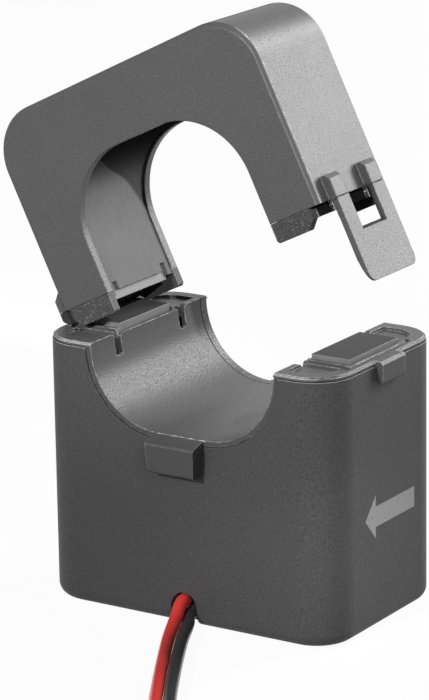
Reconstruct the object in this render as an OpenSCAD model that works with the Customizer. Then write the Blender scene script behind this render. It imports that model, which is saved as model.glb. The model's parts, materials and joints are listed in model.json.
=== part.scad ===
// Split-core current transformer. The base holds the wound half of the core, the hinged cover
// holds the other half, and a springy latch strap hooks over a lug to keep the two shut.
// The origin is the middle of the base's underside, the conductor runs along Y, and the cover
// is modelled shut and then turned open about its hinge.

/* [Base] */
// Width of the base, from the hinge side to the latch side
base_w = 57; // [51:0.5:64]
// Depth of the base, along the conductor
base_d = 36; // [32:0.5:42]
// Height of the base shell
base_h = 45; // [43:0.5:52]
// Radius of the base's upright corners
corner_r = 7; // [5:0.5:8]
// Radius of the base's lower edge
foot_r = 2.2; // [1:0.1:3]
// Wall of both shells
wall = 1.6; // [1.3:0.1:1.8]
// Floor of the base shell
floor_t = 2; // [1.5:0.1:2.5]
// Height that the moulded flange stands above the base shell
flange_t = 0.8; // [0.6:0.1:1.2]
// Width of the raised rim round the flange
rim_w = 2.8; // [2:0.2:3.6]

/* [Window] */
// Clear width of the conductor window
window_w = 35.5; // [32:0.5:39]
// Depth of the window below the base shell's edge
window_drop = 12.6; // [12:0.2:14]
// Corner radius of the window in the base
base_window_r = 13; // [11:0.5:15]
// Height of the window above the cover's lower edge
cover_window_h = 21.9; // [20:0.1:22.5]
// Corner radius of the window in the cover
cover_window_r = 13; // [10:0.5:15]

/* [Cover] */
// How far the cover stands in from each side of the base
cover_in = 0.5; // [0.3:0.1:1]
// Depth of the cover, along the conductor
cover_d = 20.8; // [19:0.1:22]
// Height of the cover shell
cover_h = 33.8; // [31:0.1:38]
// Radius of the cover's two upper corners
cover_corner_r = 8.8; // [7:0.2:10]
// Bevel along the cover's front and back edges
bevel = 0.7; // [0.4:0.1:1.2]
// Height of the shut cover's edge above the base shell
cover_gap = 3.2; // [3.1:0.1:3.6]
// Height of the skirts under the cover's edge
skirt_h = 3.4; // [2.8:0.1:4]
// Angle at which the cover stands open
open_deg = 26; // [15:1:60]

/* [Core] */
// Thickness of the core's lower yoke
core_t = 6.6; // [5.5:0.1:7.5]
// Room round each leg of the core in its pole opening
leg_gap = 0.35; // [0.2:0.05:0.6]
// Room for the leaf spring above the upper core
spring_room = 1.95; // [1.5:0.05:2.5]
// Height that the lower poles stand above the base shell
pole_rise = 1.7; // [1.2:0.1:2]
// Air gap between the poles when the cover is shut
pole_gap = 0.06; // [0.04:0.01:0.1]
// Height of the lower yoke above the ground
yoke_z = 12.4; // [11.5:0.1:13]
// Build of the winding on its former
winding_t = 5.2; // [4:0.2:5.4]

/* [Latch] */
// Width of the latch strap
strap_w = 14.6; // [12.6:0.2:15.6]
// Thickness of the latch strap
strap_t = 1.05; // [0.8:0.05:1.3]
// Length of the latch strap below the cover's edge
strap_len = 14.7; // [12.5:0.1:17]
// Width of the catch lug
lug_w = 7.2; // [6:0.2:8]
// Height of the catch lug
lug_h = 3.8; // [3.4:0.1:4.8]
// Height that the lug stands out from the base's side
lug_out = 1.3; // [1:0.1:1.6]

/* [Hinge] */
// Place of the hinge axis, in from the base's side
hinge_in = 0.8; // [0.6:0.1:0.9]
// Height of the hinge axis above the base shell
hinge_rise = 2.73; // [2.65:0.01:2.8]
// Width of the base's knuckle
knuckle_w = 9.8; // [8:0.2:10.4]
// Radius of the hinge knuckles
knuckle_r = 1.55; // [1.3:0.05:1.6]
// Radius of the hinge pin
pin_r = 0.75; // [0.6:0.05:0.8]

/* [Leads] */
// Outer diameter of each lead
lead_d = 2.2; // [1.8:0.1:2.2]
// Width of the notch where the leads come out
notch_w = 5; // [4.8:0.1:6]
// Height of that notch
notch_h = 5.6; // [5.4:0.1:7]

/* [Hidden] */
$fn = 64;

// clearances: faces that rest on each other, parts that slot together, loose parts, the pin's bore
seat = 0.05;
fit = 0.1;
loose = 0.3;
running = 0.06;
over = 10;

// heights on the base
rim_z = base_h + flange_t;
recess_z = rim_z - 0.5;
collar_z = rim_z + 0.2;
tongue_z = rim_z - 0.3;
pole_z = base_h + pole_rise;
window_low = base_h - window_drop;

// the shut cover
cover_w = base_w - 2 * cover_in;
half_w = window_w / 2;
cover_low = base_h + cover_gap;
cover_top = cover_low + cover_h;
window_top = cover_low + cover_window_h;
skirt_low = cover_low - skirt_h;
hinge_x = hinge_in - base_w / 2;
hinge_z = base_h + hinge_rise;

// liners, core legs and the collars round the poles
liner_t = 0.85;
lip_in = 0.45;
lining_t = 0.6;
lining_in = 0.35;
tongue_t = 0.75;
core_in = half_w + lining_in + lining_t + fit;
core_out = cover_w / 2 - wall - loose - fit;
core_leg = core_out - core_in;
pole_open_in = half_w + tongue_t;
pole_open_out = core_out + 2 * fit;
collar_out = base_w / 2 - wall - fit;
skirt_out = cover_d / 2;
skirt_t = wall - fit;
skirt_in = skirt_out - skirt_t;
groove_in = skirt_in - 0.2;
groove_out = skirt_out + 0.25;
collar_y = groove_in - seat;
pole_open_y = collar_y - 0.7;
leg_y = pole_open_y - leg_gap;
slot_z = base_h - 3;
groove_end = base_w / 2 - wall - 1.3;
skirt_end = cover_w / 2 - 1.3;
latch_skirt_end = skirt_end - 0.9;
upper_pole_z = pole_z + pole_gap;
core_top = cover_top - wall - spring_room;
upper_yoke_low = window_top + lining_in + lining_t + loose + fit;
cavity_y = skirt_in - fit + 0.08;
knuckle_y = knuckle_w / 2;
knuckle_end = cover_d / 2 - bevel;
knuckle_reach = knuckle_r + 0.35;
rib_out = 1.35;

// former and winding on the lower yoke
former_t = 1;
former_gap = 0.2;
former_z = yoke_z + core_t / 2;
former_y = leg_y + former_gap + former_t;
former_h = core_t / 2 + former_gap + former_t;
former_end = core_in - 0.6;
cheek_t = 1.2;
wound = min(winding_t, base_d / 2 - wall - former_y - 1.6, former_z - floor_t - former_h - 3.2);

// latch strap and lug
strap_in = base_w / 2 + seat;
strap_out = strap_in + strap_t;
lug_low = rim_z - lug_h;
strap_window_z = lug_low - 0.13;
strap_window_y = lug_w / 2 + 0.15;
barb = 0.5;
root_h = 3.9;
root_lip = 0.35;
tab_w = 9.4;
tab_x = -0.35;
tab_h = 6;
tab_drop = 0.75;
tab_out = 3.2;

// leads: bare ends of the winding, sleeves, then the two routes to the coil
sleeve_r = 1.25;
sleeve_z = floor_t + sleeve_r + seat;
sleeve_x = 1.6;
sleeve_y = [-11, -2];
front = -base_d / 2;
lead_r = lead_d / 2;
red_route = [[-sleeve_x, sleeve_y[0] - fit, sleeve_z], [-1.5, front + 4, 3.5], [-0.2, front + 1, 4.25],
    [0.1, front - 1, 4.2], [1, front - 4.5, 2.7], [3.4, front - 10, 1.4], [7.4, front - 17.5, lead_r + 0.05],
    [11.6, front - 25, lead_r], [15.9, front - 32, lead_r], [19.9, front - 39, lead_r],
    [23.9, front - 47, lead_r], [28, front - 55.2, lead_r]];
black_route = [[sleeve_x, sleeve_y[0] - fit, sleeve_z], [sleeve_x, front + 4, 3.35], [1.3, front + 1, 2.45],
    [1.5, front - 1, 2.2], [2.9, front - 3.2, 1.7], [5.6, front - 8.6, lead_r + 0.1],
    [9.5, front - 16.3, lead_r + 0.02], [13.7, front - 23.8, lead_r], [18, front - 30.8, lead_r],
    [22.1, front - 38, lead_r], [26.1, front - 46, lead_r], [31.7, front - 57.4, lead_r]];
coil_at = [19.8, front - 72.6, 0];
coil_r = 12.4;
coil_w = 12.4;
coil_h = 6.8;

// smooth curve through a list of points, as points along it
function curve_at(a, b, c, d, t) =
    0.5 * (2 * b + (c - a) * t + (2 * a - 5 * b + 4 * c - d) * t * t + (3 * b - a - 3 * c + d) * t * t * t);
function smooth(p, steps) = [
    for (i = [0 : len(p) - 2], k = [0 : steps - 1])
        curve_at(p[max(i - 1, 0)], p[i], p[i + 1], p[min(i + 2, len(p) - 1)], k / steps),
    p[len(p) - 1]];
function unit(v) = v / norm(v);
function heading(p, i) = unit(p[min(i + 1, len(p) - 1)] - p[max(i - 1, 0)]);
function ring_at(p, i, r, sides) =
    let (h = heading(p, i), side = unit(cross(h, [0, 0, 1])), up = cross(side, h))
    [for (k = [0 : sides - 1]) p[i] + r * (cos(360 * k / sides) * side + sin(360 * k / sides) * up)];

// round tube along a list of points, closed at both ends
module tube(p, r, sides) {
    rings = len(p);
    points = [for (i = [0 : rings - 1]) each ring_at(p, i, r, sides)];
    walls = [for (i = [0 : rings - 2], k = [0 : sides - 1])
        [i * sides + k, i * sides + (k + 1) % sides, (i + 1) * sides + (k + 1) % sides, (i + 1) * sides + k]];
    first = [for (k = [0 : sides - 1]) sides - 1 - k];
    last = [for (k = [0 : sides - 1]) (rings - 1) * sides + k];
    polyhedron(points, concat([first], walls, [last]));
}

// plan of a box with round upright corners
module slab(w, d, r) {
    square([w - 2 * r, d], center = true);
    square([w, d - 2 * r], center = true);
    for (x = [-1, 1], y = [-1, 1]) translate([x * (w / 2 - r), y * (d / 2 - r)]) circle(r);
}

// front view of an open-topped U with round lower corners
module u_shape(half, low, r, high) {
    intersection() {
        union() {
            for (s = [-1, 1]) translate([s * (half - r), low + r]) circle(r);
            translate([r - half, low]) square([2 * (half - r), r]);
            translate([-half, low + r]) square([2 * half, high - low]);
        }
        translate([-half, low]) square([2 * half, high - low]);
    }
}

// front view of an arch with round upper corners
module arch(half, low, r, high) {
    translate([0, low + high]) mirror([0, 1]) u_shape(half, low, r, high);
}

// front view drawn in X and Z, made solid along Y about the middle
module along_y(depth) {
    rotate([90, 0, 0]) linear_extrude(depth, center = true) children();
}

// side view drawn in Y and Z, made solid along X about the middle
module along_x(length) {
    rotate([90, 0, 90]) linear_extrude(length, center = true) children();
}

// block between two corners
module block(a, b) {
    translate(a) cube(b - a);
}

// round-cornered box with a rounded lower edge
module tub(w, d, h, r, f) {
    translate([0, 0, f]) linear_extrude(h - f) slab(w, d, r);
    linear_extrude(f) slab(w - 2 * f, d - 2 * f, r - f);
    for (x = [-1, 1], y = [-1, 1]) translate([x * (w / 2 - r), y * (d / 2 - r), f]) rotate_extrude()
        translate([r - f, 0]) intersection() {
            circle(f);
            translate([0, -f]) square(f);
        }
    for (s = [-1, 1]) {
        translate([0, s * (d / 2 - f), f]) rotate([0, 90, 0]) cylinder(r = f, h = w - 2 * r, center = true);
        translate([s * (w / 2 - f), 0, f]) rotate([90, 0, 0]) cylinder(r = f, h = d - 2 * r, center = true);
    }
}

// turns a part of the shut cover to where it stands open
module opened() {
    translate([hinge_x, 0, hinge_z]) rotate([0, -open_deg, 0]) translate([-hinge_x, 0, -hinge_z]) children();
}

// cylinder along the hinge axis, from one place on Y to another
module on_hinge(r, y0, y1) {
    translate([hinge_x, y1, hinge_z]) rotate([90, 0, 0]) cylinder(r = r, h = y1 - y0);
}

// moulded tub, open at the top, cut out for the window and notched for the leads
module base_shell() {
    color("dimgray") difference() {
        union() {
            difference() {
                tub(base_w, base_d, base_h, corner_r, foot_r);
                translate([0, 0, floor_t]) linear_extrude(base_h)
                    slab(base_w - 2 * wall, base_d - 2 * wall, corner_r - wall);
            }
            // posts that carry the core's yoke
            for (s = [-1, 1]) translate([s * (core_in + core_leg / 3), 0, 0])
                block([-core_leg / 4, 1 - leg_y, floor_t / 2], [core_leg / 4, leg_y - 1, yoke_z - seat]);
        }
        along_y(base_d + over) u_shape(half_w + liner_t + fit, window_low - liner_t - fit,
            base_window_r + liner_t + fit, base_h + over);
        // arched notch for the leads
        translate([0, front, 0]) along_y(4 * wall) {
            translate([0, notch_h - notch_w / 2]) circle(d = notch_w);
            translate([-notch_w / 2, -1]) square([notch_w, 1 + notch_h - notch_w / 2]);
        }
    }
}

// hook over the edge of the front or back wall, at the bottom of the window
module hook(side) {
    y0 = base_d / 2 + seat;
    translate([tab_x, 0, window_low]) mirror([0, side > 0 ? 0 : 1, 0]) {
        intersection() {
            along_x(tab_w) polygon([[y0, -tab_h], [y0, 0], [y0 + tab_out - 0.25, -tab_drop],
                [y0 + tab_out, -tab_drop - 0.3], [y0 + tab_out - 0.5, -tab_h + 0.4],
                [y0 + tab_out - 0.9, -tab_h]]);
            along_y(4 * base_d) polygon([[-tab_w / 2, 1], [tab_w / 2, 1], [tab_w / 2, -0.8],
                [tab_w / 2 - 0.35, -tab_h - 1], [0.35 - tab_w / 2, -tab_h - 1], [-tab_w / 2, -0.8]]);
        }
        block([-tab_w / 2, y0 - 1, -liner_t + fit], [tab_w / 2, y0 + 0.25, -0.1]);
    }
}

// lining of the lower window with its flange, pole collars, hooks, catch lug and hinge knuckle
module base_insert() {
    color("slategray") difference() {
        union() {
            // flange, stepped in below and above so that two fine lines show along the shell's edge
            translate([0, 0, base_h + seat]) linear_extrude(flange_t - seat)
                slab(base_w - 1, base_d - 1, corner_r - 0.5);
            translate([0, 0, base_h + 0.2]) linear_extrude(flange_t - 0.45)
                slab(base_w - 0.3, base_d - 0.3, corner_r - 0.15);
            translate([0, 0, base_h - 1.4]) linear_extrude(2)
                slab(base_w - 2 * (wall + fit), base_d - 2 * (wall + fit), corner_r - wall - fit);
            along_y(base_d - 2 * lip_in)
                u_shape(half_w + liner_t, window_low - liner_t, base_window_r + liner_t, base_h + 0.2);
            along_y(base_d - 1)
                u_shape(half_w + liner_t, window_low - liner_t, base_window_r + liner_t, rim_z);
            for (s = [-1, 1]) mirror([s > 0 ? 0 : 1, 0, 0])
                block([half_w - 1, -collar_y, slot_z], [collar_out, collar_y, collar_z]);
            for (s = [-1, 1]) hook(s);
            // catch lug, hooked over the side wall and undercut below
            along_y(lug_w) polygon([[base_w / 2 - 1, base_h + seat], [base_w / 2 + seat, base_h + seat],
                [base_w / 2 + seat, lug_low + barb], [base_w / 2 + lug_out - 0.3, lug_low],
                [base_w / 2 + lug_out, lug_low + 0.3], [base_w / 2 + lug_out, rim_z - 0.5],
                [base_w / 2 + lug_out - 0.4, rim_z], [base_w / 2 - 1, rim_z]]);
            // knuckle on its post
            on_hinge(knuckle_r, -knuckle_y, knuckle_y);
            block([hinge_x - knuckle_r + 0.2, -knuckle_y, base_h + seat],
                [hinge_x + knuckle_r - 0.2, knuckle_y, hinge_z]);
        }
        along_y(base_d + 4 * over) u_shape(half_w, window_low, base_window_r, base_h + over);
        // shallow recess inside the rim, short of the window's lip and the collars
        difference() {
            translate([0, 0, recess_z]) linear_extrude(over)
                slab(base_w - 2 * rim_w, base_d - 2 * rim_w, max(corner_r - rim_w, 1));
            cube([2 * half_w + 2.2, base_d, 4 * base_h], center = true);
            cube([base_w, 2 * collar_y, 4 * base_h], center = true);
            block([hinge_x - 2, -base_d, recess_z - 1], [hinge_x + 2.2, base_d, base_h + 2 * over]);
        }
        // tongues between the grooves, and the lips beyond them, with round upper corners
        along_x(2 * pole_open_in) difference() {
            translate([-groove_in, tongue_z - 0.5]) square([2 * groove_in, over]);
            translate([0, tongue_z - 2]) slab(2 * collar_y, 4, 0.5);
        }
        for (t = [-1, 1]) along_x(2 * half_w + 2.2) difference() {
            translate([t * (groove_out + 0.4), rim_z - 0.4]) square(1, center = true);
            translate([t * (groove_out + 0.9), rim_z - 0.9]) circle(0.9);
        }
        for (s = [-1, 1]) mirror([s > 0 ? 0 : 1, 0, 0]) {
            // opening for the core's leg, and the tongue beside it
            block([pole_open_in, -pole_open_y, base_h - over], [pole_open_out, pole_open_y, base_h + over]);
            block([pole_open_in - 0.5, -pole_open_y, tongue_z], [core_out, pole_open_y, base_h + over]);
            // grooves that take the cover's skirts
            for (t = [-1, 1]) mirror([0, t > 0 ? 0 : 1, 0]) {
                block([0, groove_in, slot_z], [groove_end, groove_out, base_h + over]);
                block([0, groove_in, base_h + seat], [groove_end + 1.6, groove_out, base_h + over]);
            }
        }
        // bore for the pin, and room for the cover's knuckles to turn
        on_hinge(pin_r + running, -knuckle_w, knuckle_w);
        for (t = [-1, 1]) mirror([0, t > 0 ? 0 : 1, 0])
            on_hinge(knuckle_reach + fit, knuckle_y + fit, knuckle_end + 2 * fit);
    }
}

// wound half of the core: a yoke and two legs that end in ground poles
module lower_core() {
    color("lightsteelblue") along_y(2 * leg_y) difference() {
        u_shape(core_out, yoke_z, core_leg * 0.4, pole_z);
        u_shape(core_in, yoke_z + core_t, 1, pole_z + over);
    }
}

// former on the lower yoke, with a cheek at each end
module bobbin() {
    color("ivory") difference() {
        union() {
            along_x(2 * former_end) translate([0, former_z])
                square([2 * former_y, 2 * former_h], center = true);
            for (s = [-1, 1]) translate([s * (former_end - cheek_t / 2), 0, 0]) along_x(cheek_t)
                translate([0, former_z]) slab(2 * (former_y + wound + 0.9), 2 * (former_h + wound + 0.9), 2);
        }
        along_x(4 * core_out) translate([0, former_z])
            square([2 * (leg_y + former_gap), core_t + 2 * former_gap], center = true);
    }
}

// copper winding, with two bare ends that drop to the leads
module winding() {
    color("peru") {
        along_x(2 * (former_end - cheek_t - seat)) translate([0, former_z]) difference() {
            slab(2 * (former_y + wound), 2 * (former_h + wound), 4);
            square([2 * (former_y + seat), 2 * (former_h + seat)], center = true);
        }
        for (s = [-1, 1]) translate([s * sleeve_x, sleeve_y[1] + 0.6, sleeve_z - 0.4])
            cylinder(r = 0.5, h = former_z - former_h - wound - sleeve_z + 1.4);
    }
}

// tape round the winding, pierced where the bare ends come out
module winding_tape() {
    color("gold") difference() {
        along_x(2 * (former_end - cheek_t - 0.6)) translate([0, former_z]) difference() {
            slab(2 * (former_y + wound + 0.4), 2 * (former_h + wound + 0.4), 4.4);
            slab(2 * (former_y + wound + seat), 2 * (former_h + wound + seat), 4 + seat);
        }
        for (s = [-1, 1]) translate([s * sleeve_x, sleeve_y[1] + 0.6, 0]) cylinder(r = 0.7, h = former_z);
    }
}

// shrunk sleeve over the joint between a lead and the winding
module splice(s) {
    translate([s * sleeve_x, sleeve_y[1], sleeve_z]) rotate([90, 0, 0])
        cylinder(r = sleeve_r, h = sleeve_y[1] - sleeve_y[0]);
}

module red_splice() {
    color("dimgray") splice(-1);
}

module black_splice() {
    color("dimgray") splice(1);
}

// free leads, from the sleeves out of the notch and over the ground to the coil
module red_lead() {
    color("red") tube(smooth(red_route, 3), lead_r, 8);
}

module black_lead() {
    color("black") tube(smooth(black_route, 3), lead_r, 8);
}

// the rest of both leads, coiled together flat on the ground
module lead_coil() {
    color("dimgray") translate(coil_at) rotate_extrude()
        translate([coil_r, coil_h / 2]) slab(coil_w, coil_h, 2.4);
}

// steel pin, fast in the cover's knuckles
module hinge_pin() {
    color("silver") on_hinge(pin_r, fit - cavity_y, cavity_y - fit);
}

// solid front view of the cover with bevelled front and back edges
module bevelled_cover() {
    half = cover_w / 2;
    r = cover_corner_r;
    y0 = cover_d / 2 - bevel;
    along_y(2 * y0) arch(half, cover_low, r, cover_top);
    for (s = [-1, 1]) mirror([0, s > 0 ? 0 : 1, 0]) {
        translate([0, 0, cover_low]) linear_extrude(cover_h - r)
            polygon([[-half, y0], [half, y0], [half - bevel, y0 + bevel], [bevel - half, y0 + bevel]]);
        along_x(2 * (half - r)) polygon([[y0, cover_low], [y0, cover_top],
            [y0 + bevel, cover_top - bevel], [y0 + bevel, cover_low]]);
        for (x = [-1, 1]) translate([x * (half - r), y0, cover_top - r]) rotate([-90, 0, 0])
            cylinder(r1 = r, r2 = r - bevel, h = bevel);
    }
}

// moulded cover: front, back and outer wall, with roots for the latch and a rib at the hinge
module cover_shell() {
    color("gray") opened() difference() {
        union() {
            bevelled_cover();
            for (s = [-1, 1]) translate([0, s * (strap_w / 2 + strap_window_y) / 2, cover_low])
                along_y(strap_w / 2 - strap_window_y) polygon([[cover_w / 2 - 1, 0], [strap_in - 0.2, 0],
                    [strap_in - 0.2, -root_lip], [strap_in, -root_lip], [strap_out, 0],
                    [strap_out, root_h - 0.8], [strap_out - 0.6, root_h], [cover_w / 2 - 1, root_h]]);
            translate([0, 0, cover_low]) along_y(cover_d - 2 * bevel) polygon([[1 - cover_w / 2, 0],
                [-cover_w / 2 - rib_out, 0], [-cover_w / 2 - rib_out, 2.1], [-cover_w / 2, 3.4],
                [1 - cover_w / 2, 3.4]]);
        }
        along_y(cover_d + over) arch(half_w, cover_low - over, cover_window_r, window_top);
        along_y(2 * cavity_y)
            arch(cover_w / 2 - wall, cover_low - over, cover_corner_r - wall, cover_top - wall);
        // room for the hinge knuckles in the outer wall
        block([-cover_w, -cavity_y, cover_low - over],
            [0.2 - cover_w / 2 + wall, cavity_y, hinge_z + knuckle_r + 0.8]);
    }
}

// skirt under one leg of the cover, seen from the front
module skirt_view(end) {
    polygon([[half_w, cover_low - seat], [half_w, skirt_low + 0.4], [half_w + 0.4, skirt_low],
        [end - 1.6, skirt_low], [end, skirt_low + 1.5], [end, cover_low - seat]]);
}

// lining of the cover's window, with the skirts that drop into the base and the hinge knuckles
module cover_insert() {
    lined = half_w + lining_in;
    color("darkslategray") opened() difference() {
        union() {
            along_y(2 * (cavity_y - seat)) difference() {
                arch(lined + lining_t, cover_low + 1.45, cover_window_r + lining_in + lining_t,
                    window_top + lining_in + lining_t);
                arch(lined, cover_low - over, cover_window_r + lining_in, window_top + lining_in);
            }
            for (s = [-1, 1]) mirror([s > 0 ? 0 : 1, 0, 0]) {
                end = s > 0 ? latch_skirt_end : skirt_end;
                block([lined, 1.1 - leg_y, cover_low + 0.05], [lined + lining_t, leg_y - 1.1, cover_low + 2]);
                for (t = [-1, 1]) mirror([0, t > 0 ? 0 : 1, 0]) {
                    block([lined, leg_y + loose, cover_low - 0.8],
                        [core_out, cavity_y - seat, cover_low + 4]);
                    block([lined, leg_y + loose, cover_low - 0.8],
                        [end - 0.4, skirt_in + 0.2, cover_low - seat]);
                    translate([0, (skirt_in + skirt_out) / 2, 0]) along_y(skirt_t) skirt_view(end);
                }
            }
            // end wall behind the latch, with its two corners and two posts
            block([core_out + 0.15, -skirt_in + 0.25, cover_low - 1.9],
                [core_out + 0.6, skirt_in - 0.25, cover_low - seat]);
            for (t = [-1, 1]) mirror([0, t > 0 ? 0 : 1, 0]) {
                block([latch_skirt_end - 1, leg_y + loose, cover_low - 1.9],
                    [core_out + 0.6, skirt_in - 0.25, cover_low - seat]);
                translate([core_out + 0.6, knuckle_w * 0.55, cover_low - 1.9])
                    cylinder(r = 0.5, h = 1.9 - seat);
            }
            // knuckles, with webs that join them to the lining
            for (t = [-1, 1]) mirror([0, t > 0 ? 0 : 1, 0]) {
                on_hinge(knuckle_r + 0.2, knuckle_y + 2 * fit, cavity_y - seat);
                intersection() {
                    on_hinge(knuckle_reach, knuckle_y + 2 * fit, knuckle_end);
                    block([-cover_w / 2 - rib_out, knuckle_y, hinge_z - over],
                        [hinge_x + knuckle_r, knuckle_end + fit, cover_low - seat]);
                }
                block([hinge_x, leg_y + loose, hinge_z - knuckle_r + 0.3],
                    [-core_out + 1, cavity_y - seat, cover_low - seat]);
            }
        }
        // bore for the pin, open at the back only
        on_hinge(pin_r + 0.02, seat - cavity_y, cover_d);
    }
}

// cover's half of the core
module upper_core() {
    color("lightsteelblue") opened() along_y(2 * leg_y) difference() {
        arch(core_out, upper_pole_z, core_leg * 0.9, core_top);
        arch(core_in, upper_pole_z - over, 1, upper_yoke_low);
    }
}

// bowed leaf spring between the core's yoke and the cover's roof
module core_spring() {
    t = spring_room / 6.5;
    reach = core_in * 0.72;
    rise = spring_room - t - 2 * seat;
    bow_r = (reach * reach + rise * rise) / (2 * rise);
    color("silver") opened() along_y(1.4 * leg_y) intersection() {
        translate([0, cover_top - wall - seat - t - bow_r]) difference() {
            circle(bow_r + t, $fn = 200);
            circle(bow_r, $fn = 200);
        }
        translate([-reach, core_top + seat]) square([2 * reach, over]);
    }
}

// springy strap with a window for the lug and a lead-in at its lower inner edge
module latch_strap() {
    low = cover_low - strap_len;
    top = cover_low - 0.12;
    color("silver") opened() difference() {
        translate([(strap_in + strap_out) / 2, 0, 0]) along_x(strap_t) u_shape(strap_w / 2, low, 1.6, top);
        // window for the lug, with a lower edge that slopes down outwards
        along_y(2 * strap_window_y) polygon([[strap_in - strap_t, strap_window_z + 2 * barb],
            [strap_out + strap_t, strap_window_z - barb], [strap_out + strap_t, top + over],
            [strap_in - strap_t, top + over]]);
        along_y(strap_w + over) polygon([[strap_in - 1, low - 1], [strap_in - 1, low + 5.5],
            [strap_in, low + 4.2], [strap_in + 0.25, low + 2.4], [strap_in + 0.6, low + 0.9],
            [strap_out - 0.35, low], [strap_out - 0.35, low - 1]]);
        // slanting top, under the roots
        along_y(strap_w + over) polygon([[strap_in - 1, top - root_lip * (strap_t + 1) / strap_t],
            [strap_out, top], [strap_out + 1, top + root_lip / strap_t], [strap_out + 1, top + over],
            [strap_in - 1, top + over]]);
    }
}

base_shell();
base_insert();
lower_core();
bobbin();
winding();
winding_tape();
red_splice();
black_splice();
red_lead();
black_lead();
lead_coil();
hinge_pin();
cover_shell();
cover_insert();
upper_core();
core_spring();
latch_strap();
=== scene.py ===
import json
import math

import bmesh
import bpy
from mathutils import Matrix, Vector


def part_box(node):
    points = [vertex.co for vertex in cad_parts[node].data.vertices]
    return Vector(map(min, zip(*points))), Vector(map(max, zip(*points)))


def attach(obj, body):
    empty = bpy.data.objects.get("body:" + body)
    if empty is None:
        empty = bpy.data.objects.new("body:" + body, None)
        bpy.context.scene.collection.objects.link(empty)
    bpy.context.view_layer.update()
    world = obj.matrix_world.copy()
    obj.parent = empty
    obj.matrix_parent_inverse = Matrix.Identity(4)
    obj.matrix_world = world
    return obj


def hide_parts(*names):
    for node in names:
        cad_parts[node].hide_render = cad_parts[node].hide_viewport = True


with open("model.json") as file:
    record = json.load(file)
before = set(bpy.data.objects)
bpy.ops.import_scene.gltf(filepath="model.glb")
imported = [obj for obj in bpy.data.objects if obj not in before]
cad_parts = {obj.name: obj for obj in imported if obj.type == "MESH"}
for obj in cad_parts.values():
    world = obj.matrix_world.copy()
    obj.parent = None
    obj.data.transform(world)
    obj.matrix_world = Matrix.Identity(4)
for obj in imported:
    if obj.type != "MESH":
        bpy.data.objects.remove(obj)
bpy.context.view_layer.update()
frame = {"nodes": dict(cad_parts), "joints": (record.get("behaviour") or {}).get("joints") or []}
cadNodes = frame["nodes"]
mm = 0.001


def newObject(name, data):
    made = bpy.data.objects.new(name, data)
    bpy.context.collection.objects.link(made)
    return made


# where a camera or lamp stands, turned towards its aim
def aimed(place, aim):
    turn = (Vector(aim) - Vector(place)).to_track_quat("-Z", "Y")
    return Matrix.Translation(Vector(place)) @ turn.to_matrix().to_4x4()


# camera, fitted to the edges of the base and the open cover

cameraSetup = {
    "place": (0.31664, -0.49507, 0.20910),
    "aim": (-0.00307, -0.00273, 0.04307),
    "rollDegrees": -0.94,
    "lens": 188.95,
    "sensor": 36,  # mm across the longer side of a 429 x 700 picture
    "clip": (0.01, 20),
}


def makeCamera(setup):
    data = bpy.data.cameras.new("mainCamera")
    data.lens = setup["lens"]
    data.sensor_width = setup["sensor"]
    data.clip_start, data.clip_end = setup["clip"]
    camera = newObject("mainCamera", data)
    roll = Matrix.Rotation(math.radians(setup["rollDegrees"]), 4, "Z")
    camera.matrix_world = aimed(setup["place"], setup["aim"]) @ roll
    bpy.context.scene.camera = camera


makeCamera(cameraSetup)
print("camera placed")


# node graphs: a socket takes part in sums as a number does, and add() makes any other node

class Socket:
    def __init__(self, graph, socket):
        self.graph = graph
        self.socket = socket

    def sum(self, operation, a, b=None):
        values = {i: v for i, v in enumerate((a, b)) if v is not None}
        return self.graph.add("ShaderNodeMath", {"operation": operation}, values)

    def __add__(self, other):
        return self.sum("ADD", self, other)

    def __radd__(self, other):
        return self.sum("ADD", other, self)

    def __sub__(self, other):
        return self.sum("SUBTRACT", self, other)

    def __rsub__(self, other):
        return self.sum("SUBTRACT", other, self)

    def __mul__(self, other):
        return self.sum("MULTIPLY", self, other)

    def __rmul__(self, other):
        return self.sum("MULTIPLY", other, self)

    def size(self):
        return self.sum("ABSOLUTE", self)

    def highest(self, other):
        return self.sum("MAXIMUM", self, other)

    def wave(self):
        return self.sum("SINE", self)

    def step(self, start, end):  # 0 before start, 1 after end, eased between
        return self.graph.add("ShaderNodeMapRange", {"interpolation_type": "SMOOTHSTEP"},
                              {"Value": self, "From Min": start, "From Max": end})

    def past(self, limit, soft):  # 0 up to the limit, 1 a little after it
        return self.step(limit, limit + soft)


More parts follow.
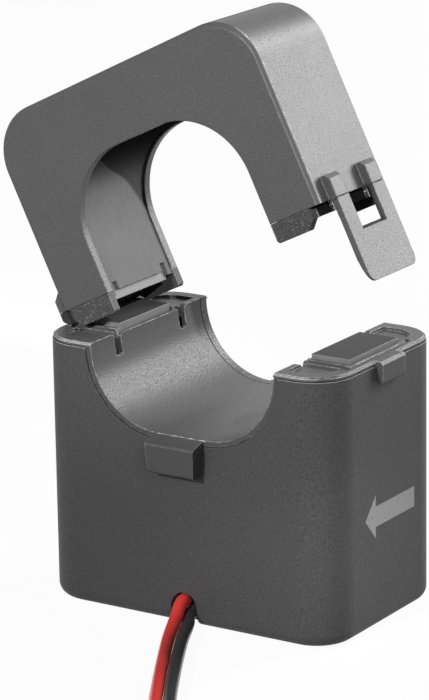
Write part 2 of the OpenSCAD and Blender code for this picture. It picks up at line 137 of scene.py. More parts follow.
class Graph:
    def __init__(self, name=None, tree=None):
        self.material = bpy.data.materials.new(name) if name else None
        if self.material:
            self.material.use_nodes = True
            tree = self.material.node_tree
        self.tree = tree
        self.tree.nodes.clear()

    # settings first, then a value or a link for each input, or a list of links where it takes several
    def add(self, kind, settings=None, inputs=None, out=0):
        node = self.tree.nodes.new(kind)
        for key, value in (settings or {}).items():
            setattr(node, key, value)
        for key, value in (inputs or {}).items():
            for part in value if isinstance(value, list) else [value]:
                if isinstance(part, Socket):
                    self.tree.links.new(part.socket, node.inputs[key])
                else:
                    node.inputs[key].default_value = part
        return Socket(self, node.outputs[out]) if len(node.outputs) else None

    def place(self, out="Object"):
        return self.add("ShaderNodeTexCoord", out=out)

    def axes(self, vector):
        first = self.add("ShaderNodeSeparateXYZ", None, {0: vector})
        return [Socket(self, axis) for axis in first.socket.node.outputs]

    def vector(self, x, y, z=0.0):
        return self.add("ShaderNodeCombineXYZ", None, {0: x, 1: y, 2: z})

    def noise(self, vector, scale, detail=2.0, rough=0.5):
        return self.add("ShaderNodeTexNoise", None,
                        {"Vector": vector, "Scale": scale, "Detail": detail, "Roughness": rough})

    def stretch(self, vector, scale):
        return self.add("ShaderNodeMapping", None, {"Vector": vector, "Scale": scale})

    def mix(self, amount, first, second):
        return self.add("ShaderNodeMix", {"data_type": "RGBA"}, {0: amount, 6: first, 7: second}, 2)

    # normals rounded over the edges, and a mask of where they turn
    def softEdge(self, radius, samples=6, turn=(0.02, 0.25)):
        rounded = self.add("ShaderNodeBevel", {"samples": samples}, {"Radius": radius})
        flat = self.add("ShaderNodeNewGeometry", out="Normal")
        along = self.add("ShaderNodeVectorMath", {"operation": "DOT_PRODUCT"},
                         {0: rounded, 1: flat}, "Value")
        return rounded, (1 - along).step(*turn)

    def bump(self, height, distance, normal=None):
        inputs = {"Height": height, "Distance": distance}
        if normal is not None:
            inputs["Normal"] = normal
        return self.add("ShaderNodeBump", None, inputs)

    def shownRays(self):  # 1 for rays that show the white backdrop, 0 for its light on the object
        seen, mirrored, through = [self.add("ShaderNodeLightPath", out="Is %s Ray" % kind)
                                   for kind in ("Camera", "Glossy", "Transmission")]
        return seen.highest(mirrored).highest(through)

    def finish(self, **inputs):
        named = {k.replace("_", " "): v for k, v in inputs.items()}
        shader = self.add("ShaderNodeBsdfPrincipled", None, named)
        self.add("ShaderNodeOutputMaterial", None, {"Surface": shader})
        return self.material


def grey(value):
    return (value, value, value, 1.0)


# moulded plastics: a fine spark-eroded grain, faint clouding, and paler edges that are partly rubbed wear and
# partly a painted highlight

baseLook = {
    "dark": 0.046, "light": 0.071, "rough": 0.58, "roughSpread": 0.12, "gloss": 0.22,
    "grainScale": 3000, "grainTone": 3.4, "grainDepth": 0.02 * mm,
    "cloudScale": 55, "cloudTone": 0.5, "cloudRough": 0.08,
    "speckScale": 0.55, "speckShare": (0.66, 0.78), "speckTone": 0.10, "speckLight": 2.2, "speckRise": 0.4,
    "edgeRadius": 0.22 * mm, "edgeTone": 0.35, "edgeWearAndHighlight": 0.20,
    "wearScale": 1100, "wearShare": (0.38, 0.62), "leastWear": 0.25,
}
coverLook = dict(baseLook, dark=0.024, light=0.041, rough=0.46, gloss=0.75, grainTone=2.8,
                 grainDepth=0.032 * mm, speckTone=0.07, edgeRadius=0.3 * mm)
insertLook = dict(baseLook, dark=0.047, light=0.070, rough=0.42, roughSpread=0.40, gloss=0.45,
                  grainScale=3200, grainTone=2.6, grainDepth=0.08 * mm,
                  edgeRadius=0.24 * mm, edgeTone=0.9, edgeWearAndHighlight=0.75)
skirtLook = dict(baseLook, dark=0.026, light=0.100, rough=0.6, gloss=0.0, grainScale=4800, grainTone=3.0,
                 grainDepth=0.06 * mm, speckTone=0.40, edgeRadius=0.15 * mm)
latchLook = dict(coverLook, edgeRadius=0.2 * mm)


def mouldedPlastic(name, look, mark=None):
    g = Graph(name)
    place = g.place()
    grain = g.noise(place, look["grainScale"], detail=1.5, rough=0.6)
    cloud = g.noise(place, look["cloudScale"], detail=3.0, rough=0.55)
    speck = g.noise(place, look["grainScale"] * look["speckScale"], detail=0.0).step(*look["speckShare"])
    edgeNormal, edge = g.softEdge(look["edgeRadius"])
    tone = (grain - 0.5) * look["grainTone"] + (cloud - 0.5) * look["cloudTone"] + 0.5
    colour = g.mix(tone, grey(look["dark"]), grey(look["light"]))
    colour = g.mix(speck * look["speckTone"], colour, grey(look["light"] * look["speckLight"]))
    worn = g.noise(place, look["wearScale"], detail=1.0).step(*look["wearShare"])
    worn = worn * (1 - look["leastWear"]) + look["leastWear"]
    # paler edges: partly rubbed wear, partly a painted highlight along the edges
    colour = g.mix(edge * worn * look["edgeTone"], colour, grey(look["edgeWearAndHighlight"]))
    rough = (grain - 0.5) * look["roughSpread"] + look["rough"] + (cloud - 0.5) * look["cloudRough"]
    if mark is not None:
        colour, rough = mark(g, place, colour, rough, edge)
    normal = g.bump(grain + speck * look["speckRise"], look["grainDepth"], edgeNormal)
    return g.finish(Base_Color=colour, Roughness=rough, Normal=normal, Specular_IOR_Level=look["gloss"])


# current-direction arrow, printed on the latch side of the base and pointing to the front, and a painted
# highlight along the tub's upper edge

arrowMark = {
    "side": 28.3 * mm, "tip": -7.2 * mm, "neck": -3.9 * mm, "tail": 8.7 * mm, "middle": 19.5 * mm,
    "headHalf": 3.7 * mm, "shaftHalf": 1.75 * mm, "soft": 0.07 * mm,
    "ink": 0.31, "inkRough": 0.05, "wearScale": 2400, "wearShare": (0.60, 0.72), "wearTone": 0.35,
    # painted highlight: a bright line along the tub's upper edge
    "lip": 44.9 * mm, "lipSoft": 0.3 * mm, "lipTone": 0.9, "lipHighlightShade": 0.65,
}


def printArrowAndLipHighlight(g, place, colour, rough, edge):
    m = arrowMark
    x, y, z = g.axes(place)
    # painted highlight along the tub's upper edge
    lip = edge * z.step(m["lip"] - m["lipSoft"], m["lip"]) * m["lipTone"]
    colour = g.mix(lip, colour, grey(m["lipHighlightShade"]))
    away = (z - m["middle"]).size()
    soft = m["soft"]
    shaft = (m["shaftHalf"] - away).step(-soft, soft) * (y - m["neck"] + soft).step(-soft, soft)
    shaft = shaft * (m["tail"] - y).step(-soft, soft)
    slope = m["headHalf"] / (m["neck"] - m["tip"])
    head = ((y - m["tip"]) * slope - away).step(-soft, soft) * (m["neck"] - y).step(-soft, soft)
    wear = 1 - g.noise(place, m["wearScale"]).step(*m["wearShare"]) * m["wearTone"]
    ink = shaft.highest(head) * x.past(m["side"], soft) * wear
    return g.mix(ink, colour, grey(m["ink"])), rough + ink * m["inkRough"]


# the cover stands open at rest, and some of its marks are placed as on the shut cover

hingeJoint = frame["joints"][0]
hinge = hingeJoint["pos_m"]
openTurn = -math.radians(hingeJoint["range_deg"][0])  # shut is this joint's lower limit


# x of a place on the cover, once it is shut
def acrossShut(x, z):
    return (x - hinge[0]) * math.cos(openTurn) + (z - hinge[2]) * math.sin(openTurn) + hinge[0]


# how far a face with this normal points up, once the cover is shut
def upShut(nx, nz):
    return nz * math.cos(openTurn) - nx * math.sin(openTurn)


# lining of the cover: fine drawn lines over the window's walls, a rough skirt round it, painted shade on the
# window's roof, the knuckles and the wall behind the latch, and painted light on that wall's posts

liningMark = {
    # drawn lines on the window's walls
    "walls": 8.86 * mm, "dark": 0.145, "light": 0.205, "wallRough": -0.06,
    "lineStretch": (0.12, 1.0, 0.12), "lineScale": 2600, "lineRough": 0.1,
    # painted shade: the window's roof is dark, and dull
    "roof": 0.85, "roofTurn": (0.52, 0.95), "roofDull": 0.3,
    # paler ends of the skirts beside the window, with pale flecks along their edges
    "window": 17.98 * mm, "windowShade": 0.15,
    "fleckScale": 2600, "fleckShare": (0.42, 0.62), "fleckShade": 0.50,
    # back skirt, and painted shade on the hinge knuckles
    "backShade": 0.055, "backDull": 0.28, "knuckle": -26.3 * mm, "knucklePaintedShade": 0.040,
    # painted shade on the wall behind the latch, and painted light on its two posts
    "end": 25.95 * mm, "deepPaintedShade": 0.010, "post": 26.66 * mm, "postPaintedLight": 0.8,
}


def lineLining(g, place, colour, rough, edge):
    m = liningMark
    x, y, z = g.axes(place)
    nx, ny, nz = g.axes(g.place("Normal"))
    across = acrossShut(x, z)
    lines = g.noise(g.stretch(place, m["lineStretch"]), m["lineScale"], detail=3.0, rough=0.6)
    inner = (m["walls"] - y.size()).step(-0.02 * mm, 0.02 * mm)
    roof = (0 - upShut(nx, nz)).step(*m["roofTurn"])
    wall = g.mix(lines, grey(m["dark"]), grey(m["light"]))
    # painted shade on the window's roof, the faces that point down once the cover is shut
    wall = g.mix(roof * m["roof"], wall, grey(m["deepPaintedShade"]))
    fleck = g.noise(place, m["fleckScale"], detail=1.0).step(*m["fleckShare"])
    beside = (m["window"] - across.size()).past(0, 0.1 * mm) * (1 - inner)
    behind = y.past(m["walls"], 0.05 * mm)
    knuckle = (m["knuckle"] - across).step(-0.05 * mm, 0.05 * mm)
    post = across.past(m["post"], 0.05 * mm) * inner
    end = across.past(m["end"], 0.1 * mm) * inner
    colour = g.mix(behind, colour, grey(m["backShade"]))
    # painted shade on the hinge knuckles
    colour = g.mix(knuckle, colour, grey(m["knucklePaintedShade"]))
    colour = g.mix(inner, colour, wall)
    colour = g.mix(beside, colour, grey(m["windowShade"]))
    colour = g.mix(beside * edge * fleck, colour, grey(m["fleckShade"]))
    # painted shade on the wall behind the latch, and painted light on the posts before it
    colour = g.mix(end, colour, grey(m["deepPaintedShade"]))
    colour = g.mix(post, colour, grey(m["postPaintedLight"]))
    rough = rough + inner * m["wallRough"] + (lines - 0.5) * m["lineRough"] * inner
    return colour, rough + behind * m["backDull"] + roof * inner * m["roofDull"]


# duller bevels on the cover, flecks and painted shade on the one that faces the window, painted highlight
# lines on the one beside the latch

windowMark = {
    "middle": (-8.2 * mm, 70.9 * mm),  # of the open cover's window, x and z
    "slantFrom": (0.2, 0.35), "slantTo": (0.90, 0.97), "dull": 0.3,
    "fleckScale": 2300, "fleckShare": (0.50, 0.60), "fleckTone": 0.9, "fleckShade": 0.55,
    # painted shade on the bevel along the window's roof
    "underTurn": (0.34, 0.46), "underPaintedShade": 0.008, "underDull": 0.24,
    # the cover's back, duller than its sides
    "backTurn": (0.93, 0.99), "backDull": 0.45,
    # painted highlights: bright lines along the bevel's edges, fainter at the front
    "bevel": 0.7 * mm, "lineHalf": (0.07 * mm, 0.2 * mm), "lineTurn": (0.2, 0.45), "frontLine": 0.27,
    "lineTone": 0.75, "highlightShade": 0.42, "wearScale": 700, "wearShare": (0.35, 0.65), "leastLine": 0.6,
}


def flecksRoundWindow(g, place, colour, rough, edge):
    m = windowMark
    nx, ny, nz = g.axes(g.place("Normal"))
    x, y, z = g.axes(place)
    inward = (m["middle"][0] - x) * nx + (m["middle"][1] - z) * nz
    slant = ny.size().step(*m["slantFrom"]) * (1 - ny.size().step(*m["slantTo"]))
    inner = inward.past(0, 2 * mm) * (0 - y).past(0, 1 * mm)
    outer = (0 - inward).past(0, 2 * mm)
    fleck = g.noise(place, m["fleckScale"], detail=1.0).step(*m["fleckShare"]) * inner
    under = (0 - nz).step(*m["underTurn"]) * inner
    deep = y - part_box("cover_shell")[0].y
    front, side = [1 - (deep - at).size().step(*m["lineHalf"]) for at in (0, m["bevel"])]
    worn = g.noise(place, m["wearScale"], detail=1.0).step(*m["wearShare"])
    highlightLine = (front * m["frontLine"] + side) * (worn * (1 - m["leastLine"]) + m["leastLine"])
    highlightLine = highlightLine * outer * nx.step(*m["lineTurn"])
    back = upShut(nx, nz).step(*m["backTurn"])
    # painted highlight lines along the bevel's edges
    colour = g.mix(highlightLine * m["lineTone"], colour, grey(m["highlightShade"]))
    colour = g.mix(slant * fleck * m["fleckTone"], colour, grey(m["fleckShade"]))
    # painted shade on the underside of the bevel round the window
    colour = g.mix(slant * under, colour, grey(m["underPaintedShade"]))
    return colour, rough + slant * (under * m["underDull"] + m["dull"]) + back * m["backDull"]


# insert of the base: painted highlights along the flange's steps, duller catches, painted shade on the front
# hook's end, and a seam in the bore

rimMark = {
    # painted highlight lines along the flange's stepped edges
    "flange": 45.1 * mm, "flangeSoft": 0.1 * mm, "margin": (1.2 * mm, 0.9 * mm), "tone": 0.95, "shade": 0.85,
    # hooks and lug, duller than the bore, and painted shade on the front hook's end
    "catchTone": 0.7, "catchShade": 0.055, "catchEdge": 0.7, "hookTurn": (0.80, 0.95), "hookPaintedShade": 0.006,
    # seam in the bore near the tub's back wall, and the rubbed strip behind it
    "bore": 17.9 * mm, "seam": 15.7 * mm, "seamHalf": 0.14 * mm, "seamShade": 0.008, "seamDull": 0.4,
    "rubScale": 1500, "rubShare": (0.45, 0.65), "rubShade": 0.11,
    # upright walls, duller than the bore's hollow
    "hollowTurn": (0.25, 0.5), "dull": 0.35,
}


def lineRim(g, place, colour, rough, edge):
    m = rimMark
    x, y, z = g.axes(place)
    nx, ny, nz = g.axes(g.place("Normal"))
    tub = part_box("base_shell")[1]

    def nearSides(start, end):  # how near to the tub's outer sides, from 0 at start to 1 at end
        sides = [axis.size().step(half - start, half - end) for axis, half in ((x, tub.x), (y, tub.y))]
        return sides[0].highest(sides[1])

    highlightLine = edge * z.step(m["flange"] - m["flangeSoft"], m["flange"]) * nearSides(*m["margin"])
    proud = nearSides(0.05 * mm, 0) * (1 - edge * m["catchEdge"])
    shadedHookEnd = nx.step(*m["hookTurn"]) * (0 - y).past(tub.y, 0.1 * mm)
    bore = (m["bore"] - x.size()).step(-0.1 * mm, 0.1 * mm)
    rubbed = g.noise(place, m["rubScale"], detail=1.5).step(*m["rubShare"]) * bore
    rubbed = rubbed * y.past(m["seam"], 0.1 * mm)
    seam = (m["seamHalf"] - (y - m["seam"]).size()).step(-0.06 * mm, 0.06 * mm) * bore
    steep = 1 - nz.step(*m["hollowTurn"])
    colour = g.mix(proud * m["catchTone"], colour, grey(m["catchShade"]))
    # painted shade on the front hook's end that faces the latch side
    colour = g.mix(shadedHookEnd, colour, grey(m["hookPaintedShade"]))
    colour = g.mix(rubbed, colour, grey(m["rubShade"]))
    colour = g.mix(seam, colour, grey(m["seamShade"]))
    # painted highlight along the flange's stepped edges
    colour = g.mix(highlightLine * m["tone"], colour, grey(m["shade"]))
    return colour, rough + steep * m["dull"] + seam * m["seamDull"]


# metals: brushed one way, faintly stained, brighter along the edges

steelLook = {
    "dark": 0.12, "light": 0.23, "tint": (1, 1, 1), "rough": 0.5, "metal": 0.2, "gloss": 0.2,
    "brushing": (0.2, 1.0, 0.2), "scale": 2600, "brushRough": 0.2, "depth": 0.015 * mm,
    "stainScale": 180, "stainTone": 0.3, "stainRough": 0.12,
    "edgeRadius": 0.2 * mm, "edgeTone": 0.5, "edgeLight": 1.5,
}
lowerCoreLook = dict(steelLook, ground=0.055, groundTurn=(0.9, 0.98), groundDull=0.25)  # its pole faces
upperCoreLook = dict(lowerCoreLook, dark=0.14, light=0.21)
pinLook = dict(steelLook, dark=0.45, light=0.62, rough=0.28, metal=1.0, gloss=0.5,
               brushing=(1.0, 0.1, 1.0), scale=3000, depth=0.006 * mm, edgeRadius=0.1 * mm)
copperLook = dict(steelLook, dark=0.30, light=0.46, tint=(1.45, 0.72, 0.42), rough=0.34, metal=1.0, gloss=0.5,
                  brushing=(1.0, 1.0, 1.0), depth=0.01 * mm, edgeRadius=0.05 * mm)


def steel(name, look):
    g = Graph(name)
    place = g.place()
    brushed = g.noise(g.stretch(place, look["brushing"]), look["scale"], detail=3.0, rough=0.6)
    stain = g.noise(place, look["stainScale"], detail=3.0, rough=0.6)
    edgeNormal, edge = g.softEdge(look["edgeRadius"])
    dark, light = [tuple(look[k] * v for v in look["tint"]) + (1.0,) for k in ("dark", "light")]
    colour = g.mix(brushed * (1 - look["stainTone"]) + stain * look["stainTone"], dark, light)
    rough = look["rough"] + (brushed - 0.5) * look["brushRough"] + (stain - 0.5) * look["stainRough"]
    if "ground" in look:  # faces that point up, darker and duller
        upward = g.axes(g.place("Normal"))[2].step(*look["groundTurn"])
        colour = g.mix(upward, colour, grey(look["ground"]))
        rough = rough + upward * look["groundDull"]
    colour = g.mix(edge * look["edgeTone"], colour, grey(look["light"] * look["edgeLight"]))
    normal = g.bump(brushed, look["depth"], edgeNormal)
    return g.finish(Base_Color=colour, Roughness=rough, Metallic=look["metal"], Normal=normal,
                    Specular_IOR_Level=look["gloss"])


# winding and its tape, inside the base

windingLook = {
    "wire": 0.42 * mm, "depth": 0.1 * mm, "dark": (0.30, 0.10, 0.035, 1), "light": (0.62, 0.27, 0.10, 1),
    "rough": 0.32, "metal": 0.9, "patchScale": 400, "patchTone": 0.3, "patchRough": 0.1,
}
tapeLook = {
    "turn": 6.0 * mm, "slope": 180, "lapShare": (0.92, 0.99), "lapTone": 0.4, "depth": 0.05 * mm,
    "dark": (0.52, 0.36, 0.06, 1), "light": (0.70, 0.52, 0.12, 1), "rough": 0.3, "coat": 0.4,
    "creaseScale": 300, "creaseRough": 0.15, "creaseRise": 0.5,
}


def windingFinish(look):
    g = Graph("enamelledWire")
    place = g.place()
    x = g.axes(place)[0]
    turns = (x * (2 * math.pi / look["wire"])).wave() * 0.5 + 0.5
    patch = g.noise(place, look["patchScale"])
    tone = turns * (1 - look["patchTone"]) + patch * look["patchTone"]
    return g.finish(Base_Color=g.mix(tone, look["dark"], look["light"]),
                    Roughness=look["rough"] + (patch - 0.5) * look["patchRough"],
                    Metallic=look["metal"], Normal=g.bump(turns, look["depth"]))


def tapeFinish(look):
    g = Graph("polyesterTape")
    place = g.place()
    x, y, z = g.axes(place)
    lap = (x * (2 * math.pi / look["turn"]) + z * look["slope"]).wave().step(*look["lapShare"])
    crease = g.noise(place, look["creaseScale"], detail=3.0)
    tone = crease * (1 - look["lapTone"]) + lap * look["lapTone"]
    return g.finish(Base_Color=g.mix(tone, look["dark"], look["light"]),
                    Roughness=look["rough"] + (crease - 0.5) * look["creaseRough"],
                    Normal=g.bump(crease * look["creaseRise"] + lap, look["depth"]), Coat_Weight=look["coat"])


# smooth plastics: insulation, sleeves, the winding's former and the tie

insulationLook = {"hazeScale": 220, "skinScale": 2600, "skinTone": 0.3, "skinRough": 0.12, "gloss": 0.5}
redLook = dict(insulationLook, dark=(0.80, 0.040, 0.034, 1), light=(0.93, 0.066, 0.054, 1), rough=0.25,
               depth=0.02 * mm)
blackLook = dict(insulationLook, dark=(0.022, 0.024, 0.026, 1), light=(0.045, 0.048, 0.052, 1), rough=0.25,
                 depth=0.03 * mm)
sleeveLook = dict(insulationLook, dark=grey(0.018), light=grey(0.03), rough=0.5, depth=0.04 * mm)
formerLook = dict(insulationLook, dark=(0.60, 0.56, 0.47, 1), light=(0.72, 0.68, 0.60, 1), rough=0.5,
                  depth=0.03 * mm)
tieLook = dict(insulationLook, dark=(0.62, 0.60, 0.54, 1), light=(0.74, 0.72, 0.66, 1), rough=0.42,
               depth=0.02 * mm)


def insulation(name, look):
    g = Graph(name)
    place = g.place()
    haze = g.noise(place, look["hazeScale"], detail=3.0)
    skin = g.noise(place, look["skinScale"])
    tone = haze * (1 - look["skinTone"]) + skin * look["skinTone"]
    return g.finish(Base_Color=g.mix(tone, look["dark"], look["light"]),
                    Roughness=look["rough"] + (skin - 0.5) * look["skinRough"],
                    Normal=g.bump(haze + skin * look["skinTone"], look["depth"]),
                    Specular_IOR_Level=look["gloss"])


finishes = {
    "base_shell": mouldedPlastic("basePlastic", baseLook, printArrowAndLipHighlight),
    "base_insert": mouldedPlastic("insertPlastic", insertLook, lineRim),
    "cover_shell": mouldedPlastic("coverPlastic", coverLook, flecksRoundWindow),
    "cover_insert": mouldedPlastic("liningPlastic", skirtLook, lineLining),
    "latch_strap": mouldedPlastic("latchPlastic", latchLook),
    "lower_core": steel("lowerCoreSteel", lowerCoreLook),
    "upper_core": steel("upperCoreSteel", upperCoreLook),
    "bobbin": insulation("formerPlastic", formerLook),
    "winding": windingFinish(windingLook),
    "winding_tape": tapeFinish(tapeLook),
    "red_splice": insulation("shrunkSleeve", sleeveLook),
    "hinge_pin": steel("pinSteel", pinLook),
}
finishes["black_splice"] = finishes["red_splice"]
finishes["core_spring"] = finishes["hinge_pin"]
tieFinish = insulation("nylon", tieLook)
copperFinish = steel("strandedCopper", copperLook)
redFinish = insulation("redInsulation", redLook)
blackFinish = insulation("blackInsulation", blackLook)

for nodeName, material in finishes.items():
    mesh = cadNodes[nodeName].data
    mesh.materials.clear()
    mesh.materials.append(material)
print("finishes: %d solids" % len(finishes))


# leads: out of the sleeves, through the notch, over the ground and into a flat coil of three layers

leadSetup = {
    "radius": 1.1 * mm,
    "length": 0.5,
    "sides": 14,
    "spacing": 1.3 * mm,  # between rings along the lead
    "routeSteps": 8,  # between two points of a route
    # routes and coil in millimetres
    "red": [(-1.6, -11.1, 3.3), (-1.5, -14, 3.5), (-0.2, -17, 4.25), (0.1, -19, 4.2),
            (1.24, -22.34, 2.7), (3.46, -27.96, 1.4), (7.45, -35.47, 1.15), (11.63, -42.98, 1.1),
            (15.72, -50.11, 1.1), (19.75, -57.1, 1.1), (23.9, -65, 1.1), (28, -73.2, 1.1)],
    "black": [(1.6, -11.1, 3.3), (1.6, -14, 3.35), (1.3, -17, 2.45), (1.5, -19, 2.2),
              (2.88, -21.22, 1.7), (5.36, -26.77, 1.2), (9.38, -34.37, 1.12), (13.56, -41.89, 1.1),
              (17.66, -49.02, 1.1), (21.95, -56.1, 1.1), (26.1, -64, 1.1), (31.7, -75.4, 1.1)],
    "coilAt": (19.8, -90.6),
    "coilStart": 26.57,  # degrees round the coil where the leads run into it
    "coilSteps": 60,  # for each turn
    "outer": {"red": 15.1, "black": 17.4},
    "pitch": 4.6,  # the two leads lie side by side
    "turnsPerLayer": 1.9,
    "ground": 1.1,  # a lead's middle where it lies on the ground
    "lift": 0.25,  # part of a turn taken to rise from the ground
    "climb": 0.2,  # part of a turn taken to rise to the next layer
    "layerZ": (1.45, 3.67, 5.89),
}


def ease(t):
    t = min(max(t, 0.0), 1.0)
    return t * t * (3 - 2 * t)


# layers wound inwards, outwards and inwards again
def coilPoints(setup, lead):
    points = []
    steps = setup["coilSteps"]
    ground = setup["ground"]
    layers = setup["layerZ"]
    turn = 0.0
    radius = setup["outer"][lead]
    inward = -1
    for layer, z in enumerate(layers):
        count = round(setup["turnsPerLayer"] * steps)
        for i in range(count + 1):
            t = i / steps
            height = z if layer else ground + (z - ground) * ease(t / setup["lift"])
            points.append((turn + t, radius + inward * setup["pitch"] * t, height))
        turn += count / steps
        radius += inward * setup["pitch"] * count / steps
        inward = -inward
        if layer + 1 < len(layers):
            rise = layers[layer + 1] - z
            count = round(setup["climb"] * steps)
            for i in range(1, count):
                points.append((turn + i / steps, radius, z + rise * ease(i / count)))
            turn += count / steps
    cx, cy = setup["coilAt"]
    placed = []
    for turn, r, z in points:
        angle = math.radians(setup["coilStart"]) - 2 * math.pi * turn
        placed.append(Vector((cx + r * math.cos(angle), cy + r * math.sin(angle), z)) * mm)
    return placed


# a smooth curve through every point
def smoothRoute(points, steps):
    p = [Vector(q) * mm for q in points]
    route = []
    for i in range(len(p) - 1):
        a, b, c, d = p[max(i - 1, 0)], p[i], p[i + 1], p[min(i + 2, len(p) - 1)]
        for k in range(steps):
            t = k / steps
            route.append(0.5 * (2 * b + (c - a) * t + (2 * a - 5 * b + 4 * c - d) * t ** 2
                                + (3 * b - a - 3 * c + d) * t ** 3))
    route.append(p[-1])
    return route


# points evenly spaced along a route, up to the lead's length
def evenPath(points, spacing, length):
    path = [points[0]]
    travelled = 0.0
    target = spacing
    last = length + 1e-9  # room for rounding
    for a, b in zip(points, points[1:]):
        part = (b - a).length
        while target <= travelled + part and target <= last:
            path.append(a + (b - a) * ((target - travelled) / part))
            target += spacing
        travelled += part
    return path


def tubeMesh(name, path, radius, sides):
    bm = bmesh.new()
    rings = []
    across = None
    for i, point in enumerate(path):
        along = (path[min(i + 1, len(path) - 1)] - path[max(i - 1, 0)]).normalized()
        if across is None:
            across = along.cross(Vector((0, 0, 1))).normalized()
        across = (across - along * across.dot(along)).normalized()
        up = along.cross(across)
        ring = []
        for k in range(sides):
            turn = 2 * math.pi * k / sides
            ring.append(bm.verts.new(point + radius * (math.cos(turn) * across + math.sin(turn) * up)))
        rings.append(ring)
    for first, second in zip(rings, rings[1:]):
        for k in range(sides):
            n = (k + 1) % sides
            bm.faces.new((first[k], first[n], second[n], second[k]))
    bm.faces.new(list(reversed(rings[0])))
    bm.faces.new(rings[-1])
    bmesh.ops.recalc_face_normals(bm, faces=bm.faces)
    for face in bm.faces:
        face.smooth = len(face.verts) == 4
    mesh = bpy.data.meshes.new(name)
    bm.to_mesh(mesh)
    bm.free()
    return newObject(name, mesh)


def makeLead(lead, material):
    setup = leadSetup
    route = smoothRoute(setup[lead], setup["routeSteps"])
    route += coilPoints(setup, lead)[2:]  # the route already ends where the coil starts
    path = evenPath(route, setup["spacing"], setup["length"])
    piece = tubeMesh(lead + "Lead", path, setup["radius"], setup["sides"])
    piece.data.materials.append(material)
    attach(piece, "base")
    return piece, path


# a tree of Geometry Nodes with named sizes, evaluated once and kept as a plain mesh where it belongs
def grownPiece(name, sizes, build, material, place):
    tree = bpy.data.node_groups.new(name, "GeometryNodeTree")
    g = Graph(tree=tree)
    kinds = {int: "NodeSocketInt", float: "NodeSocketFloat"}
    ports = {}
    for key, value in sizes.items():
        ports[key] = tree.interface.new_socket(name=key, in_out="INPUT", socket_type=kinds[type(value)])
    tree.interface.new_socket(name="Geometry", in_out="OUTPUT", socket_type="NodeSocketGeometry")
    shape = build(g, {k: g.add("NodeGroupInput", out=k) for k in sizes})
    shape = g.add("GeometryNodeRealizeInstances", None, {0: shape})
    shape = g.add("GeometryNodeSetMaterial", None, {"Geometry": shape, "Material": material})
    g.add("NodeGroupOutput", None, {"Geometry": shape})
    host = newObject(name + "Host", bpy.data.meshes.new(name + "Host"))
    modifier = host.modifiers.new("grow", "NODES")
    modifier.node_group = tree
    for key, port in ports.items():
        modifier[port.identifier] = sizes[key]
    grown = host.evaluated_get(bpy.context.evaluated_depsgraph_get())
    mesh = bpy.data.meshes.new_from_object(grown)
    host.modifiers.remove(modifier)
    bpy.data.objects.remove(host)
    mesh.name = name
    mesh.transform(place)
    mesh.materials.clear()
    mesh.materials.append(material)
    piece = newObject(name, mesh)
    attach(piece, "base")
    return piece


# cable tie: a band round the coil's section, with a head on top and the cut tail behind it

tieSetup = {
    "angle": 225.0,  # degrees round the coil
    # middle of the band: out from the coil's centre, and up
    "inner": 6.42 * mm, "outer": 17.55 * mm, "low": 0.18 * mm, "high": 7.18 * mm,
    "sizes": {
        "corner": 1.2 * mm, "cornerSteps": 6, "bandWidth": 2.5 * mm, "bandThickness": 0.3 * mm,
        "headLength": 4.4 * mm, "headHeight": 2.4 * mm, "headWidth": 4.0 * mm,
        "headAt": 0.2, "headLift": 0.2 * mm,  # part of the band's length from its middle, and over its top
        "tail": 3.4 * mm, "tailLift": 0.55,  # part of the head's height
    },
}


def growTie(g, s):
    hoop = g.add("GeometryNodeCurvePrimitiveQuadrilateral", None,
                 {"Width": s["across"], "Height": s["upright"]})
    hoop = g.add("GeometryNodeFilletCurve", {"mode": "POLY"},
                 {"Curve": hoop, "Count": s["cornerSteps"], "Radius": s["corner"]})
    hoop = g.add("GeometryNodeSetCurveNormal", {"mode": "Z_UP"}, {"Curve": hoop})
    strip = g.add("GeometryNodeCurvePrimitiveQuadrilateral", None,
                  {"Width": s["bandThickness"], "Height": s["bandWidth"]})
    band = g.add("GeometryNodeCurveToMesh", None, {"Curve": hoop, "Profile Curve": strip})
    headX = s["across"] * s["headAt"]
    top = s["upright"] * 0.5
    tailX = headX - (s["headLength"] + s["tail"]) * 0.5
    blocks = (
        # size, place
        (g.vector(s["headLength"], s["headHeight"], s["headWidth"]),
         g.vector(headX, top + s["headHeight"] * 0.5 + s["headLift"])),
        (g.vector(s["tail"], s["bandThickness"] * 2, s["bandWidth"]),
         g.vector(tailX, top + s["headHeight"] * s["tailLift"])),
    )
    parts = [band]
    for size, place in blocks:
        block = g.add("GeometryNodeMeshCube", None, {"Size": size})
        parts.append(g.add("GeometryNodeTransform", None, {"Geometry": block, "Translation": place}))
    return g.add("GeometryNodeJoinGeometry", None, {0: parts})


def tieOnCoil(setup):
    cx, cy = leadSetup["coilAt"]
    angle = math.radians(setup["angle"])
    out = Vector((math.cos(angle), math.sin(angle), 0))
    up = Vector((0, 0, 1))
    middle = Vector((cx, cy, 0)) * mm
    middle += out * (setup["inner"] + setup["outer"]) / 2 + up * (setup["low"] + setup["high"]) / 2
    place = Matrix.Translation(middle) @ Matrix((out, up, out.cross(up))).transposed().to_4x4()
    sizes = dict(setup["sizes"], across=setup["outer"] - setup["inner"],
                 upright=setup["high"] - setup["low"])
    return grownPiece("cableTie", sizes, growTie, tieFinish, place)


# bared end: strands round a middle one, each a little out of line

strandSetup = {
    "bared": 3.2 * mm,
    "lean": 0.05,
    "seed": 5,
    "sizes": {"strands": 6, "sides": 10, "ring": 0.49 * mm, "strandRadius": 0.23 * mm, "length": 3.8 * mm},
}


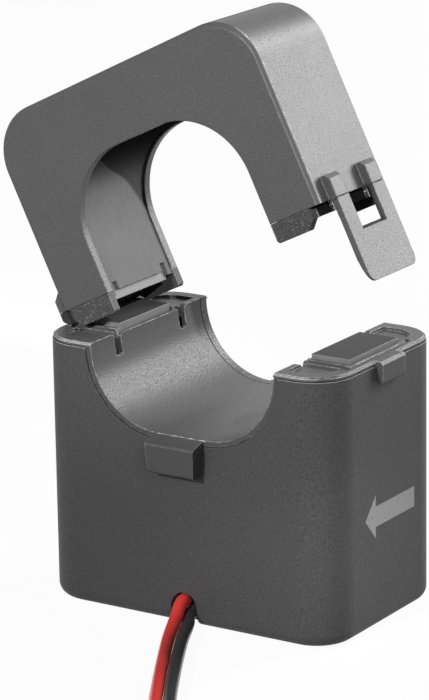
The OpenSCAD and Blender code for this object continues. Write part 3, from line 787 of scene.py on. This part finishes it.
def growStrands(g, s):
    ring = g.add("GeometryNodeMeshCircle", None, {"Vertices": s["strands"], "Radius": s["ring"]})
    middle = g.add("GeometryNodePoints", None, {"Count": 1})
    ends = g.add("GeometryNodeMeshToPoints", None, {0: ring})
    spots = g.add("GeometryNodeJoinGeometry", None, {0: [ends, middle]})
    strand = g.add("GeometryNodeMeshCylinder", None,
                   {"Vertices": s["sides"], "Radius": s["strandRadius"], "Depth": s["length"]})
    most = strandSetup["lean"]
    lean = g.add("FunctionNodeRandomValue", {"data_type": "FLOAT_VECTOR"},
                 {0: (-most, -most, 0), 1: (most, most, 0), "Seed": strandSetup["seed"]})
    return g.add("GeometryNodeInstanceOnPoints", None,
                 {"Points": spots, "Instance": strand, "Rotation": lean})


def strandsAtEnd(setup, lead, path):
    along = (path[-1] - path[-2]).normalized()
    place = Matrix.Translation(path[-1] + along * (setup["bared"] - setup["sizes"]["length"] / 2))
    place = place @ along.to_track_quat("Z", "Y").to_matrix().to_4x4()
    return grownPiece(lead + "Strands", setup["sizes"], growStrands, copperFinish, place)


redLead, redPath = makeLead("red", redFinish)
blackLead, blackPath = makeLead("black", blackFinish)
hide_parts("red_lead", "lead_coil")
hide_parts("black_lead")
tie = tieOnCoil(tieSetup)
redEnd = strandsAtEnd(strandSetup, "red", redPath)
blackEnd = strandsAtEnd(strandSetup, "black", blackPath)
print("leads: %d and %d points" % (len(redPath), len(blackPath)))


# floor, backdrop and light

studio = {
    "worldLight": 0.04,
    "floorHalf": 3.0,
    "floorShade": 0.92,
    "floorBounce": 0.11,  # the floor's shade for light on its way to the object
    "floorShadow": 0.05,  # share of the floor's own shading that the camera sees
    "areas": {
        # place, aim, width and height in metres, watts
        "frontKey": ((-0.10, -0.86, 0.46), (0.0, -0.01, 0.03), 0.10, 0.10, 6.8),
        "backBox": ((0.530, 0.810, 0.305), (0.0, 0.0, 0.06), 0.30, 0.30, 3.7),
        "boreBox": ((0.330, 0.781, 0.591), (0.0, 0.0, 0.06), 0.30, 0.30, 5.0),
    },
    "spots": {
        # place, aim, cone in degrees, softness of its edge, size of the source, watts
        "coverKey": ((0.802, -0.612, 0.721), (-0.002, 0.0, 0.079), 4.6, 0.25, 0.012, 56.0),
        "cornerKey": ((0.66, -0.62, 0.30), (0.026, -0.015, 0.018), 2.3, 0.6, 0.02, 36.0),
        "sideKey": ((0.58, 0.62, 0.80), (0.0285, 0.0, 0.024), 3.1, 0.4, 0.02, 12.0),
    },
}


def makeFloor(setup):
    mesh = bpy.data.meshes.new("floor")
    half = setup["floorHalf"]
    corners = [(-half, -half, 0), (half, -half, 0), (half, half, 0), (-half, half, 0)]
    mesh.from_pydata(corners, [], [(0, 1, 2, 3)])
    floor = newObject("floor", mesh)
    g = Graph("paleFloor")
    shown = g.shownRays()
    shade = g.mix(shown, grey(setup["floorBounce"]), grey(setup["floorShade"]))
    matt = g.add("ShaderNodeBsdfDiffuse", None, {"Color": shade})
    white = g.add("ShaderNodeEmission", None, {"Color": grey(1), "Strength": 1.0})
    mixed = g.add("ShaderNodeMixShader", None, {0: shown * (1 - setup["floorShadow"]), 1: matt, 2: white})
    g.add("ShaderNodeOutputMaterial", None, {"Surface": mixed})
    mesh.materials.append(g.material)


def makeWorld(setup):
    world = bpy.data.worlds.new("studioWorld")
    bpy.context.scene.world = world
    world.use_nodes = True
    g = Graph(tree=world.node_tree)
    strength = setup["worldLight"] + (1 - setup["worldLight"]) * g.shownRays()
    sky = g.add("ShaderNodeBackground", None, {"Color": grey(1), "Strength": strength})
    g.add("ShaderNodeOutputWorld", None, {"Surface": sky})


def makeLamps(setup):
    for name, (place, aim, width, height, watts) in setup["areas"].items():
        data = bpy.data.lights.new(name, "AREA")
        data.shape = "RECTANGLE"
        data.size = width
        data.size_y = height
        data.energy = watts
        newObject(name, data).matrix_world = aimed(place, aim)
    for name, (place, aim, cone, edge, size, watts) in setup["spots"].items():
        data = bpy.data.lights.new(name, "SPOT")
        data.spot_size = math.radians(cone)
        data.spot_blend = edge
        data.shadow_soft_size = size
        data.energy = watts
        newObject(name, data).matrix_world = aimed(place, aim)


makeFloor(studio)
makeWorld(studio)
makeLamps(studio)
bpy.context.scene.view_settings.view_transform = "Standard"
print("studio: %d lamps" % (len(studio["areas"]) + len(studio["spots"])))
